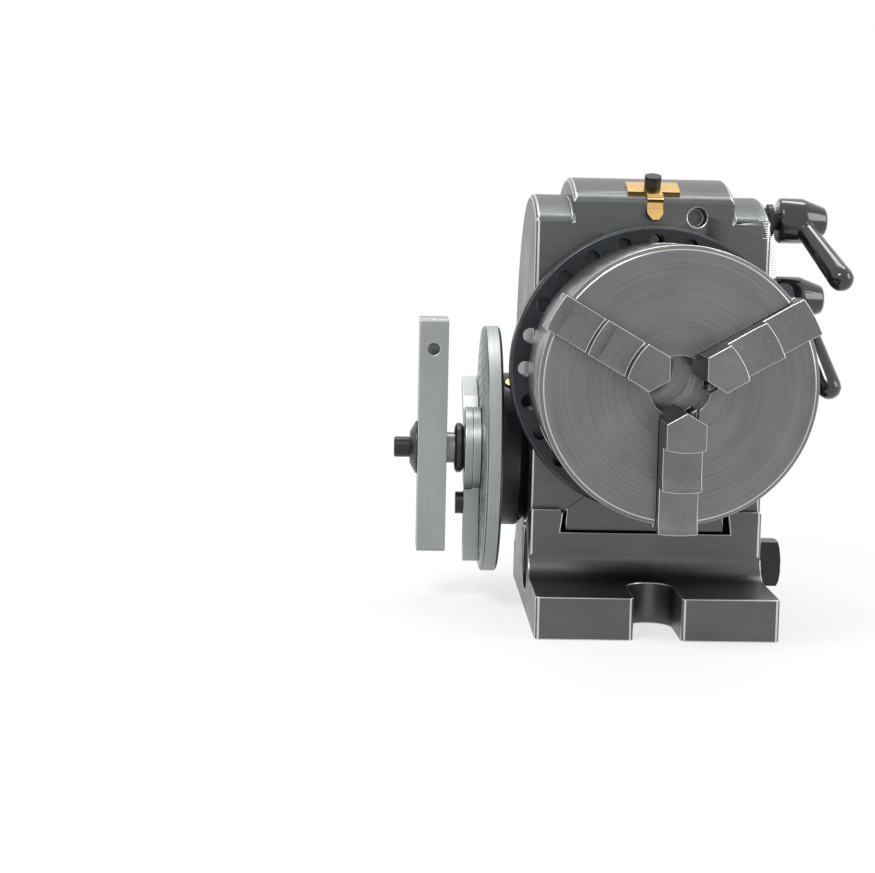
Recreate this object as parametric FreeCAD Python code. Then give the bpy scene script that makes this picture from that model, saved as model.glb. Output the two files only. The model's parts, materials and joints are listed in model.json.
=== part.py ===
import FreeCAD, Part

import math
import os

# Dividing head with a scroll chuck, in millimetres.
# +X is to the right of the chuck's face, the chuck looks along -Y and +Z is up.
# The origin is on the table face, below the crossing of spindle axis and tilt axis.

V = FreeCAD.Vector
X, Y, Z = V(1, 0, 0), V(0, 1, 0), V(0, 0, 1)

# ---- driving dimensions ----------------------------------------------------------
CENTRE_H = 100.0          # spindle axis above the table
HALF_W = 46.5             # half the width of base and swivel body
FIT = 0.03                # running clearance on a radius
GAP = 0.3                 # space between moving faces that are no fit

FOOT_FRONT = -80.3        # front edge of the base
BASE_REAR = 49.3          # rear edge of the base
FOOT_H = 16.5             # thickness of the bolting feet
WALL = 38.6               # the ears' front and rear faces, from the tilt axis
SLOT_W = 18.0             # U-slots for the table bolts
SLOT_END = -48.1          # closed end of the front U-slot

SHOULDER_R = 68.0         # swivel body: shoulders, which lie on the ears
BAND_R = 75.0             # swivel body: raised middle band, which runs in the channel
BAND_HALF = 31.74         # half the band's width
FACE_Y = -35.1            # flat front face of the swivel body

MODULE = 1.5              # worm gearing
WHEEL_TEETH = 40
WORM_PITCH_R = 7.1
WHEEL_PITCH_R = MODULE * WHEEL_TEETH / 2
WORM_LEAD = math.pi * MODULE
WORM_Z = CENTRE_H - WHEEL_PITCH_R - WORM_PITCH_R
BACKLASH = 0.34           # total play between a worm thread and its tooth space

CHUCK_R = 50.0
CHUCK_FACE = -116.4
CHUCK_BACK = CHUCK_FACE + 55.0
CHUCK_BORE_R = 11.0
JAW_ANGLES = (270.0, 30.0, 150.0)
JAW_W = 14.0
JAW_TIP = 7.4             # radius of a jaw's nose as stored
JAW_PROUD = 19.6          # height of a jaw's first step over the chuck's face
JAW_LONG = 45.0
SCROLL_PITCH = 5.0        # jaw travel for one turn of the scroll
SCROLL_R = 35.6
CROWN_TEETH = 45          # bevel teeth on the scroll's back
PINION_TEETH = 10
PINION_ANGLES = (90.0, 210.0, 330.0)
PINION_DEPTH = 34.5       # pinion axes behind the chuck's face

RING_R = 55.96            # direct-index ring
RING_FRONT = -47.4
RING_BACK = -37.4
RING_HOLES = 24

HOUSING_R = 31.5          # worm housing on the left flank
PLATE_R = 50.75           # index plate
PLATE_IN, PLATE_OUT = -57.8, -64.6
HOLE_CIRCLES = ((22.0, 15), (26.5, 16), (31.0, 17), (35.5, 18), (40.0, 19), (44.5, 20))

LEVER_Y = -22.0           # both clamping levers sit above the front bearing
LOCK_Z = 127.9
PLUNGER_CAM_Z = 159.0
PLUNGER_Z = CENTRE_H + 50.0
FINGER_R = 6.5            # radius at which the cam's finger holds the plunger
FINGER_REST = -35.0       # finger angle with the plunger drawn back, in degrees


# ---- helpers ---------------------------------------------------------------------
def box(x0, x1, y0, y1, z0, z1):
    return Part.makeBox(x1 - x0, y1 - y0, z1 - z0, V(x0, y0, z0))


def rod(start, direction, radius, length):
    return Part.makeCylinder(radius, length, start, direction)


def fuse(*solids):
    return solids[0].multiFuse(list(solids[1:])).removeSplitter()


def face_of(points):
    return Part.Face(Part.makePolygon(list(points) + [points[0]]))


def turned(profile, origin, axis, radial):
    """A turned solid from (distance along the axis, radius) points."""
    points = [origin + axis * along + radial * radius for along, radius in profile]
    return face_of(points).revolve(origin, axis, 360)


def on_spindle(profile):
    return turned(profile, V(0, 0, CENTRE_H), Y, Z)


def on_tilt(profile):
    return turned(profile, V(0, 0, CENTRE_H), X, Z)


def on_worm(profile):
    return turned(profile, V(0, 0, WORM_Z), X, Z)


def stepped(*steps):
    """A closed profile of plain steps, each (from, to, radius), in order."""
    points = [(steps[0][0], 0.0)]
    for start, end, radius in steps:
        points += [(start, radius), (end, radius)]
    return points + [(steps[-1][1], 0.0)]


def spindle_bore(start, end, radius):
    return rod(V(0, start, CENTRE_H), Y, radius, end - start)


def worm_bore(start, end, radius):
    return rod(V(start, 0, WORM_Z), X, radius, end - start)


def chuck_turn(shape, angle):
    """Turn a shape made along +X about the spindle axis to an angle from +X towards +Z."""
    turned_shape = shape.copy()
    turned_shape.rotate(V(0, 0, CENTRE_H), Y, -angle)
    return turned_shape


def radial(angle):
    a = math.radians(angle)
    return V(math.cos(a), 0, math.sin(a))


def on_ring(count, radius, y, start=0.0):
    """Points spaced evenly on a circle about the spindle axis."""
    step = 360.0 / count
    return [V(0, y, CENTRE_H) + radial(start + step * i) * radius for i in range(count)]


def involute(radius):
    return math.tan(radius) - radius


def tooth_half_angle(radius, pitch_r, half_at_pitch, pressure=math.radians(20)):
    """Half the angle that an involute tooth takes up at a radius."""
    base = pitch_r * math.cos(pressure)
    at = math.acos(min(1.0, base / radius)) if radius > base else 0.0
    return half_at_pitch / pitch_r + involute(pressure) - involute(at)


def gear_outline(teeth, root_r, levels, pitch_r, half_at_pitch, turn=0.0):
    """Gear outline as (angle, radius) points with a space centred on angle 0."""
    points = []
    step = 2 * math.pi / teeth
    for i in range(teeth):
        middle = turn + step * (i + 0.5)
        halves = [(tooth_half_angle(r, pitch_r, half_at_pitch), r) for r in levels]
        foot = halves[0][0]
        points.append((middle - foot, root_r))
        points += [(middle - half, r) for half, r in halves]
        points += [(middle + half, r) for half, r in reversed(halves)]
        points.append((middle + foot, root_r))
    return points


def prism_cutter(start, direction, across, radius, sides, length):
    """Drill with flat sides about a circle of that radius: few faces where holes repeat."""
    up = direction.cross(across)
    corner_r = radius / math.cos(math.pi / sides)
    points = []
    for i in range(sides):
        a = 2 * math.pi * (i + 0.5) / sides
        points.append(start + across * (corner_r * math.cos(a)) + up * (corner_r * math.sin(a)))
    return face_of(points).extrude(direction * length)


def flat_sided(first, last):
    """Solid between two alike polygons whose sides all lie in planes through one apex."""
    faces = [face_of(list(reversed(first))), face_of(last)]
    for i in range(len(first)):
        j = (i + 1) % len(first)
        faces.append(face_of([first[i], first[j], last[j], last[i]]))
    solid = Part.Solid(Part.Shell(faces))
    if solid.Volume < 0:
        solid.reverse()
    return solid


def socket_head(start, direction, head_r, head_h, shank_r, shank_l):
    """Cap screw: the head stands along direction from start, the shank goes back."""
    head = rod(start, direction, head_r, head_h)
    shank = rod(start - direction * shank_l, direction, shank_r, shank_l)
    return head.fuse(shank)


def hexagon_prism(centre, across_flats, x0, x1):
    """A hexagon along X, flats up and down."""
    r = across_flats / math.sqrt(3)
    points = [V(x0, centre.y + r * math.cos(math.radians(60 * i)),
                centre.z + r * math.sin(math.radians(60 * i))) for i in range(6)]
    return face_of(points).extrude(X * (x1 - x0))


def save(name, shape):
    shape.exportStep("parts/" + name + ".step")


# ---- base ------------------------------------------------------------------------
CLAMP_Y, CLAMP_Z = -20.0, 20.3
CLAMP_RECESS = 13.0
CHANNEL_R = 76.0
EDGE = 1.2                # machined edge break


def u_slot(y_open, y_end):
    """Tool for a U-slot with a round end and broken mouth edges."""
    half = SLOT_W / 2
    inward = 1 if y_end > y_open else -1
    centre_y = y_end - inward * half
    outline = [V(-half - EDGE, y_open, -1), V(-half, y_open + inward * EDGE, -1),
               V(-half, centre_y, -1), V(half, centre_y, -1),
               V(half, y_open + inward * EDGE, -1), V(half + EDGE, y_open, -1),
               V(half + EDGE, y_open - inward, -1), V(-half - EDGE, y_open - inward, -1)]
    straight = face_of(outline).extrude(Z * (FOOT_H + 20))
    return straight.fuse(rod(V(0, centre_y, -1), Z, half, FOOT_H + 20))


def block_outline(y0, y1):
    return [V(-HALF_W, y0 + EDGE, 0), V(-HALF_W + EDGE, y0, 0), V(HALF_W - EDGE, y0, 0),
            V(HALF_W, y0 + EDGE, 0), V(HALF_W, y1 - EDGE, 0), V(HALF_W - EDGE, y1, 0),
            V(-HALF_W + EDGE, y1, 0), V(-HALF_W, y1 - EDGE, 0)]


def wall_fillet(y_wall, side, radius):
    """Concave fillet between a foot and the wall above it."""
    y_far = y_wall + side * radius
    bar = box(-HALF_W, HALF_W, min(y_wall, y_far), max(y_wall, y_far),
              FOOT_H, FOOT_H + radius)
    return bar.cut(rod(V(-HALF_W - 1, y_far, FOOT_H + radius), X, radius, 2 * HALF_W + 2))


def make_base():
    foot = face_of(block_outline(FOOT_FRONT, BASE_REAR)).extrude(Z * FOOT_H)
    ears = face_of(block_outline(-WALL, WALL)).extrude(Z * 46)
    body = fuse(foot, ears, wall_fillet(-WALL, -1, 9.0), wall_fillet(WALL, 1, 9.0))
    seat_r = SHOULDER_R + GAP
    mouth, floor = BAND_HALF + 1.2, BAND_HALF + 2.2
    channel = on_tilt([(-50, 0), (-50, seat_r), (-mouth - 1.2, seat_r),
                       (-mouth, seat_r + 1.2), (-floor, CHANNEL_R), (floor, CHANNEL_R),
                       (mouth, seat_r + 1.2), (mouth + 1.2, seat_r), (50, seat_r), (50, 0)])
    body = body.cut(channel)
    front_slot = u_slot(FOOT_FRONT, SLOT_END)
    rear_slot = u_slot(BASE_REAR, WALL).common(box(-20, 20, WALL, 60, -5, FOOT_H + 20))
    bolt_hole = rod(V(-50, CLAMP_Y, CLAMP_Z), X, 6.1, 100)
    recess = rod(V(-50, CLAMP_Y, CLAMP_Z), X, CLAMP_RECESS, 50 - HALF_W + 12)
    return body.cut(fuse(front_slot, rear_slot)).cut(bolt_hole.fuse(recess))


def make_clamp_bolt():
    axis = V(0, CLAMP_Y, CLAMP_Z)
    head_x = HALF_W + 2.5
    head = hexagon_prism(axis, 18.0, head_x, head_x + 7.5)
    corner_cut = turned([(-1, 0), (-1, 12), (5.9, 12), (7.5, 9.2), (7.5, 0)],
                        axis + X * head_x, X, Z)
    shank = rod(V(-HALF_W + 3, CLAMP_Y, CLAMP_Z), X, 6.0, head_x + HALF_W - 3)
    return head.common(corner_cut).fuse(shank)


def make_clamp_washer():
    start = V(HALF_W, CLAMP_Y, CLAMP_Z)
    return rod(start, X, 11.5, 2.5).cut(rod(start, X, 6.0, 2.5))


def make_clamp_nut():
    """Round nut with two spanner slots, sunk in the left ear's recess."""
    start = V(-HALF_W + 2, CLAMP_Y, CLAMP_Z)
    nut = rod(start, X, 11.0, 10.0).cut(rod(start, X, 6.0, 10.0))
    slot = box(-HALF_W + 1, -HALF_W + 5, CLAMP_Y - 12, CLAMP_Y + 12,
               CLAMP_Z - 2, CLAMP_Z + 2)
    return nut.cut(slot)


# ---- swivel body and what is fixed on it ------------------------------------------
FRONT_BUSH_R, FRONT_JOURNAL_R = 27.0, 22.0
CHAMBER_R, CHAMBER_FRONT = 33.0, -12.0
CAP_IN, CAP_SEAT, CAP_OUT = 14.0, 40.0, 47.0
CAP_FLANGE_R = 42.0
REAR_JOURNAL_R = 17.0
SLEEVE_R, SLEEVE_END = 13.0, -23.5
WORM_END_R, WORM_BUSH_R = 5.0, 8.0
COTTER_R = 7.0
PLUNGER_R = 4.0
CAP_SCREW_R = 37.6
FACE_HOLE_X, FACE_HOLE_Z = 17.0, 159.6
FACE_HOLE_R, FACE_HOLE_DEPTH = 3.75, 8.0


def barrel_profile():
    """Right half of the barrel's section, then its mirror image."""
    right = [(BAND_HALF - 1.0, BAND_R), (BAND_HALF, BAND_R - 1.0),
             (BAND_HALF - 0.4, SHOULDER_R - 0.9), (BAND_HALF + 0.6, SHOULDER_R - 0.9),
             (BAND_HALF + 0.6, SHOULDER_R), (HALF_W - EDGE, SHOULDER_R),
             (HALF_W, SHOULDER_R - EDGE), (HALF_W, 0.0)]
    return [(-x, r) for x, r in reversed(right)] + right


def face_edge_tools():
    """Tools that break the straight outer edges of the flat front face."""
    tools = []
    strips = ((BAND_R, -BAND_HALF - 0.5, BAND_HALF + 0.5),
              (SHOULDER_R, -HALF_W - 1, -BAND_HALF - 0.5),
              (SHOULDER_R, BAND_HALF + 0.5, HALF_W + 1))
    for radius, x0, x1 in strips:
        rise = math.sqrt(radius ** 2 - FACE_Y ** 2)
        back = V(0, rise / radius, -FACE_Y / radius)
        corner = V(x0, FACE_Y, CENTRE_H + rise)
        wedge = face_of([corner - Z * EDGE, corner + back * EDGE, corner - Y * 3 + Z * 3])
        wedge = wedge.extrude(X * (x1 - x0))
        tools += [wedge, wedge.mirror(V(0, 0, CENTRE_H), Z)]
    for side in (-1, 1):
        x = side * HALF_W
        tools.append(face_of([V(x - side * EDGE, FACE_Y, 0), V(x, FACE_Y + EDGE, 0),
                              V(x + side * 2, FACE_Y - 2, 0)]).extrude(Z * 200))
    return tools


def make_swivel_body():
    body = on_tilt(barrel_profile())
    body = body.cut(box(-60, 60, -90, FACE_Y, 0, 200))
    for tool in face_edge_tools():
        body = body.cut(tool)
    screw, screw_out = pointer_screw_axis()
    hollow = [
        spindle_bore(FACE_Y - 1, CHAMBER_FRONT + 1, FRONT_BUSH_R),
        spindle_bore(CHAMBER_FRONT, CAP_SEAT + 1, CHAMBER_R),
        spindle_bore(CAP_SEAT, 90, CAP_FLANGE_R + 1),
        worm_bore(-50, SLEEVE_END, SLEEVE_R),
        worm_bore(SLEEVE_END - 1, 19, 10.0),
        worm_bore(18, 34, WORM_BUSH_R),
        rod(V(-18, LEVER_Y, LOCK_Z), X, COTTER_R + 0.05, 70),
        rod(V(8, LEVER_Y, PLUNGER_CAM_Z), X, 4.05, 50),
        rod(V(0, FACE_Y - 1, PLUNGER_Z), Y, PLUNGER_R + 0.05, 37),
        box(-3.2, 9, LEVER_Y - 7.5, LEVER_Y + 7.5, PLUNGER_Z, PLUNGER_CAM_Z + 4.2),
        rod(V(FACE_HOLE_X, FACE_Y - 1, FACE_HOLE_Z), Y, FACE_HOLE_R, FACE_HOLE_DEPTH + 1),
        rod(screw - screw_out * 10, screw_out, 2.0, 20),
    ]
    for place in on_ring(4, CAP_SCREW_R, CAP_SEAT - 14, 45.0):
        hollow.append(rod(place, Y, 2.5, 15))
    return body.cut(fuse(*hollow))


def make_front_bush():
    flange = on_spindle(stepped((-36.4, FACE_Y, 30.0), (FACE_Y, CHAMBER_FRONT, FRONT_BUSH_R)))
    bush = flange.cut(spindle_bore(-40, 0, FRONT_JOURNAL_R + FIT))
    return bush.cut(rod(V(-20, LEVER_Y, LOCK_Z), X, COTTER_R + 0.05, 60))


def make_rear_cap():
    cap = on_spindle(stepped((CAP_IN, CAP_SEAT, CHAMBER_R), (CAP_SEAT, CAP_OUT, CAP_FLANGE_R)))
    tools = [spindle_bore(0, 60, REAR_JOURNAL_R + 4)]
    for place in on_ring(4, CAP_SCREW_R, CAP_SEAT - 1, 45.0):
        tools += [rod(place, Y, 2.6, 20), rod(place + Y * 3, Y, 4.3, 20)]
    return cap.cut(fuse(*tools))


def make_rear_bush():
    ring = on_spindle(stepped((CAP_IN, CAP_OUT, REAR_JOURNAL_R + 4)))
    return ring.cut(spindle_bore(0, 60, REAR_JOURNAL_R + FIT))


def make_cap_screws():
    heads = [socket_head(p, Y, 4.2, 4.8, 2.5, 14) for p in on_ring(4, CAP_SCREW_R, CAP_SEAT + 2, 45)]
    return Part.makeCompound(heads)


def make_lock_cotters():
    """Two plugs with hollowed faces that a stud draws on to the spindle journal."""
    journal = spindle_bore(-60, 30, FRONT_JOURNAL_R + 0.05)
    stud_hole = rod(V(-1, LEVER_Y, LOCK_Z), X, 4.1, 60)
    plugs = [rod(V(x0, LEVER_Y, LOCK_Z), X, COTTER_R, x1 - x0) for x0, x1 in ((-17, -1), (1, 44))]
    tapped = rod(V(-16, LEVER_Y, LOCK_Z), X, 4.0 + FIT, 16)
    return Part.makeCompound([p.cut(journal).cut(stud_hole).cut(tapped) for p in plugs])


# ---- clamping levers ---------------------------------------------------------------
LEVER_IN = 51.0           # inner face of a lever's hub


def make_lever(z, angle):
    """Hub with a drooping handle; angle is the handle's turn forward from straight down."""
    axis_point = V(0, LEVER_Y, z)
    hub = turned([(LEVER_IN, 0), (LEVER_IN, 8.1), (LEVER_IN + 0.9, 9.0), (60.6, 9.0),
                  (69.6, 5.6), (70.4, 4.4), (70.4, 0)], axis_point, X, Z)
    root = V(60.5, 0, -3)
    tip = V(70.2, 0, -38.6)
    direction = (tip - root).normalize()
    length = (tip - root).Length
    arm = turned([(0, 0), (0, 3.7), (length, 4.85), (length + 2.3, 4.4), (length + 4.1, 2.9),
                  (length + 4.85, 1.2), (length + 4.85, 0)], root, direction, direction.cross(Y))
    arm.rotate(V(0, 0, 0), X, -angle)
    arm.translate(axis_point)
    return hub.fuse(arm).cut(rod(V(LEVER_IN - 1, LEVER_Y, z), X, 4.0, 13))


def make_lock_stud():
    stud = rod(V(-15, LEVER_Y, LOCK_Z), X, 4.0, LEVER_IN + 12 + 15)
    collar = rod(V(HALF_W + 0.4, LEVER_Y, LOCK_Z), X, 6.5, 2.0)
    return stud.fuse(collar)


def make_plunger_cam():
    """Cross shaft with a ball-ended finger that pushes the index plunger."""
    axis = V(0, LEVER_Y, PLUNGER_CAM_Z)
    shaft = rod(V(-1.6, LEVER_Y, PLUNGER_CAM_Z), X, 4.0, LEVER_IN + 12 + 1.6)
    collar = rod(V(HALF_W + 0.4, LEVER_Y, PLUNGER_CAM_Z), X, 6.5, 2.0)
    a = math.radians(FINGER_REST)
    down = V(0, -math.sin(a), -math.cos(a))
    neck = rod(axis, down, 1.4, FINGER_R)
    ball = Part.makeSphere(2.0, axis + down * FINGER_R)
    return fuse(shaft, collar, neck, ball)


def make_index_plunger():
    """Pin for the direct-index ring, with a cross slot for the finger's ball."""
    back = -5.0
    tip = FACE_Y + 0.3
    a = math.radians(FINGER_REST)
    ball_y = LEVER_Y - FINGER_R * math.sin(a)
    profile = [(tip, 0), (tip, 2.0), (tip + 0.7, 2.7), (tip + 6, 2.7), (tip + 7.3, PLUNGER_R),
               (back, PLUNGER_R), (back, 0)]
    pin = turned(profile, V(0, 0, PLUNGER_Z), Y, Z)
    slot = box(-6, 6, ball_y - 2.15, ball_y + 2.15, PLUNGER_Z + 0.2, PLUNGER_Z + 6)
    return pin.cut(slot)


# ---- spindle group -----------------------------------------------------------------
NOSE_R, SPINDLE_FLANGE_R = 17.0, 30.0
WHEEL_SEAT_R = 20.0


def make_spindle():
    outer = on_spindle(stepped((CHUCK_BACK, -45.4, NOSE_R), (-45.4, -36.6, SPINDLE_FLANGE_R),
                               (-36.6, -7.5, FRONT_JOURNAL_R), (-7.5, CAP_IN, WHEEL_SEAT_R),
                               (CAP_IN, 47.3, REAR_JOURNAL_R), (47.3, 60.0, 15.0)))
    taper = on_spindle([(CHUCK_BACK - 1, 0), (CHUCK_BACK - 1, 11.95), (CHUCK_BACK + 50, 10.65),
                        (CHUCK_BACK + 50, 8.5), (61, 8.5), (61, 0)])
    keyway = box(-2.5, 2.5, -6, 10, CENTRE_H + 17.5, CENTRE_H + 21)
    return outer.cut(taper).cut(keyway)


def make_wheel_key():
    return box(-2.5, 2.5, -6, 10, CENTRE_H + 17.5, CENTRE_H + 22.3)


WHEEL_HALF_W = 6.0
WHEEL_HUB_R, WHEEL_HUB_END = 26.0, 12.0


def wheel_tooth(tooth_angle):
    """One flat-flanked tooth, leaning to the worm's lead angle; angle from +X towards +Z."""
    root = WHEEL_PITCH_R - 1.2 * MODULE
    half_at_pitch = math.pi * MODULE / 4 - BACKLASH / 4
    levels = (root + 0.35, WHEEL_PITCH_R, WHEEL_PITCH_R + 0.95 * MODULE)
    halves = [(tooth_half_angle(r, WHEEL_PITCH_R, half_at_pitch), r) for r in levels]
    foot = [(halves[0][0], root - 0.4)]
    right = foot + halves
    section = [(-half, r) for half, r in right] + [(half, r) for half, r in reversed(right)]
    lean = WHEEL_HALF_W * WORM_LEAD / (2 * math.pi * WORM_PITCH_R)
    points = [V(r * math.cos(a), -WHEEL_HALF_W, CENTRE_H + r * math.sin(a) + lean)
              for a, r in section]
    tooth = face_of(points).extrude(V(0, 2 * WHEEL_HALF_W, -2 * lean))
    return chuck_turn(tooth, tooth_angle)


def make_worm_wheel():
    """Forty teeth with one space straight down, over the worm."""
    step = 360.0 / WHEEL_TEETH
    root = WHEEL_PITCH_R - 1.2 * MODULE
    rim = spindle_bore(-WHEEL_HALF_W, WHEEL_HALF_W, root)
    teeth = [wheel_tooth(270.0 + step * (i + 0.5)) for i in range(WHEEL_TEETH)]
    hub = spindle_bore(WHEEL_HALF_W - 0.5, WHEEL_HUB_END, WHEEL_HUB_R)
    wheel = rim.multiFuse(teeth + [hub]).cut(spindle_bore(-10, 20, WHEEL_SEAT_R + 0.01))
    return wheel.cut(box(-2.5, 2.5, -10, 20, CENTRE_H, CENTRE_H + 22.4))


def make_spindle_nut():
    nut = on_spindle([(47.4, 0), (47.4, 22), (56.2, 22), (57.0, 21.2), (57.0, 0)])
    nut = nut.cut(spindle_bore(40, 60, 15.0))
    for angle in range(0, 360, 60):
        notch = box(19.5, 23, 47, 58, CENTRE_H - 2.5, CENTRE_H + 2.5)
        nut = nut.cut(chuck_turn(notch, angle))
    return nut


def make_index_ring():
    ring = on_spindle([(RING_FRONT, 0), (RING_FRONT, RING_R - 0.8), (RING_FRONT + 0.8, RING_R),
                       (RING_BACK - 0.8, RING_R), (RING_BACK, RING_R - 0.8), (RING_BACK, 0)])
    ring = ring.cut(spindle_bore(-50, -30, NOSE_R + 0.02))
    ring = ring.cut(spindle_bore(-45.4, -30, SPINDLE_FLANGE_R + 0.02))
    holes = [prism_cutter(p, Y, Z, 2.9, 12, 20) for p in on_ring(RING_HOLES, 50.0, -52)]
    return ring.cut(Part.makeCompound(holes))


CHUCK_SCREW_R = 40.0


def make_chuck_flange():
    flange = on_spindle([(CHUCK_BACK - 3, 0), (CHUCK_BACK - 3, 35.4), (CHUCK_BACK - 2.5, 35.9),
                         (CHUCK_BACK, 35.9), (CHUCK_BACK, 46.0), (RING_FRONT, 46.0),
                         (RING_FRONT, 0)])
    tools = [spindle_bore(-80, -40, NOSE_R + 0.02)]
    for place in on_ring(3, CHUCK_SCREW_R, RING_FRONT + 1, 30.0):
        tools += [rod(place, -Y, 3.1, 20), rod(place, -Y, 5.2, 7.4)]
    return flange.cut(fuse(*tools))


def make_chuck_screws():
    y = RING_FRONT - 6.4
    return Part.makeCompound([socket_head(p, Y, 5.0, 6.0, 3.0, 18)
                              for p in on_ring(3, CHUCK_SCREW_R, y, 30.0)])


# ---- chuck --------------------------------------------------------------------------
CAVITY_R = 36.0
WEB = 15.2                # depth of the chuck body's front wall
HUB_R = 14.5
TOOTH_W = 7.0             # width of a jaw's scroll teeth
RIDGE = 2.0               # thickness of the scroll's ridge
SPIRAL_START = 16.0
PINION_JOURNAL_R = 7.5
COVER_IN, COVER_OUT = 44.2, 51.5


def depth(value):
    """Y of a plane at a depth behind the chuck's face."""
    return CHUCK_FACE + value


def slot_section(width, neck, low, high, inner, outer):
    """A jaw's guide section along +X: full width with a neck for the chuck's rails."""
    half, thin = width / 2, neck / 2
    play = (JAW_W + 0.3 - width) / 2
    parts = [box(inner, outer, depth(low), depth(5 - play), CENTRE_H - half, CENTRE_H + half),
             box(inner, outer, depth(4.5), depth(9.5), CENTRE_H - thin, CENTRE_H + thin),
             box(inner, outer, depth(9 + play), depth(high), CENTRE_H - half, CENTRE_H + half)]
    return fuse(*parts)


def make_chuck_body():
    body = on_spindle([(CHUCK_FACE, 0), (CHUCK_FACE, CHUCK_R - 1.6), (CHUCK_FACE + 1.6, CHUCK_R),
                       (CHUCK_BACK - 1.2, CHUCK_R), (CHUCK_BACK, CHUCK_R - 1.2), (CHUCK_BACK, 0)])
    cavity = spindle_bore(depth(WEB), CHUCK_BACK + 1, CAVITY_R)
    hub = spindle_bore(depth(WEB) - 1, depth(COVER_OUT), HUB_R)
    body = body.cut(cavity).fuse(hub).cut(spindle_bore(-130, -50, CHUCK_BORE_R))
    slot = slot_section(JAW_W + 0.3, JAW_W - 3.7, -1, 18.4, 0, 52)
    tools = [chuck_turn(slot, a) for a in JAW_ANGLES]
    journal = rod(V(CAVITY_R - 1, depth(PINION_DEPTH), CENTRE_H), X, PINION_JOURNAL_R + FIT, 20)
    pin_hole = rod(V(42.5, depth(PINION_DEPTH), CENTRE_H), Y, 2.0, 30)
    tools += [chuck_turn(journal.fuse(pin_hole), a) for a in PINION_ANGLES]
    tools += [rod(p, -Y, 3.0, 16) for p in on_ring(3, CHUCK_SCREW_R, CHUCK_BACK + 1, 30.0)]
    for tool in tools:
        body = body.cut(tool)
    return body


def make_chuck_cover():
    """Plate that closes the chuck's back and keeps scroll and pinions in place."""
    cover = on_spindle(stepped((depth(COVER_IN), depth(COVER_OUT), CAVITY_R - 0.02)))
    tools = [spindle_bore(-80, -50, HUB_R + 0.02)]
    tools += [rod(p - Y * 10, Y, 2.1, 20) for p in on_ring(3, 28.0, depth(COVER_OUT), 90.0)]
    return cover.cut(fuse(*tools))


def make_cover_screws():
    return Part.makeCompound([rod(p - Y * 7.7, Y, 2.1, 7.4)
                              for p in on_ring(3, 28.0, depth(COVER_OUT), 90.0)])


def spiral_edges(radius_at_start, a0, a1):
    """Arcs through exact points of an Archimedean spiral, an eighth of a turn each."""
    def point(a):
        r = radius_at_start + SCROLL_PITCH * (a - a0) / 360.0
        return V(r * math.cos(math.radians(a)), 0, r * math.sin(math.radians(a)))
    count = round((a1 - a0) / 45.0)
    step = (a1 - a0) / count
    edges = []
    for i in range(count):
        a = a0 + step * i
        edges.append(Part.Arc(point(a), point(a + step / 2), point(a + step)).toShape())
    return edges, point(a0), point(a1)


def spiral_ridge():
    turns = 3.75
    outer, outer_start, outer_end = spiral_edges(SPIRAL_START + RIDGE / 2, 0, 360 * turns)
    inner, inner_start, inner_end = spiral_edges(SPIRAL_START - RIDGE / 2, 0, 360 * turns)
    edges = outer + inner + [Part.makeLine(outer_end, inner_end),
                             Part.makeLine(outer_start, inner_start)]
    wire = Part.Wire(Part.__sortEdges__(edges))
    ridge = Part.Face(wire).extrude(Y * 3.0)
    ridge.translate(V(0, depth(15.5), CENTRE_H))
    return ridge


def groove_radius(angle):
    """Radius, below one pitch, at which a groove of the scroll crosses a direction."""
    return (SPIRAL_START + SCROLL_PITCH * angle / 360.0 + SCROLL_PITCH / 2) % SCROLL_PITCH


BEVEL_SLOPE = PINION_TEETH / CROWN_TEETH   # pinion pitch radius for each unit of radius
CROWN_ADD, CROWN_DED = 0.020, 0.060        # tooth heights for each unit of radius
PINION_ADD, PINION_DED = 0.050, 0.030
CROWN_IN, CROWN_OUT = 26.0, 35.4


def crown_section(r):
    """A crown tooth's section at a radius, tooth along +X, tip towards +Y."""
    pitch = 2 * math.pi * r / CROWN_TEETH
    pitch_y = depth(PINION_DEPTH) - BEVEL_SLOPE * r
    half = 0.19 * pitch
    tip, root = CROWN_ADD * r, CROWN_DED * r
    slope = math.tan(math.radians(20))
    return [V(r, pitch_y - root, CENTRE_H - half - slope * root),
            V(r, pitch_y + tip, CENTRE_H - half + slope * tip),
            V(r, pitch_y + tip, CENTRE_H + half - slope * tip),
            V(r, pitch_y - root, CENTRE_H + half + slope * root)]


def crown_teeth():
    tooth = flat_sided(crown_section(CROWN_IN), crown_section(CROWN_OUT))
    return [chuck_turn(tooth, PINION_ANGLES[0] + i * 360.0 / CROWN_TEETH)
            for i in range(CROWN_TEETH)]


def make_scroll():
    """Scroll plate: spiral ridge in front, bevel teeth behind."""
    def root_y(r):
        return depth(PINION_DEPTH) - (BEVEL_SLOPE + CROWN_DED) * r + 0.2
    disc = on_spindle([(depth(18.2), HUB_R + FIT), (depth(18.2), SCROLL_R),
                       (root_y(SCROLL_R), SCROLL_R), (root_y(CROWN_IN - 1), CROWN_IN - 1),
                       (root_y(CROWN_IN - 1) + 1.5, CROWN_IN - 3),
                       (root_y(CROWN_IN - 1) + 1.5, HUB_R + FIT)])
    return disc.multiFuse([spiral_ridge()] + crown_teeth())


def pinion_section(r):
    pitch_r = BEVEL_SLOPE * r
    half = 0.25 * 2 * math.pi * pitch_r / PINION_TEETH
    root = pitch_r - PINION_DED * r
    tip = pitch_r + PINION_ADD * r
    levels = (root * 1.02, pitch_r, tip)
    outline = gear_outline(PINION_TEETH, root, levels, pitch_r, half)
    # angle 0 points to the crown, along -Y
    return [V(r, depth(PINION_DEPTH) - q * math.cos(a), CENTRE_H + q * math.sin(a))
            for a, q in outline]


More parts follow.
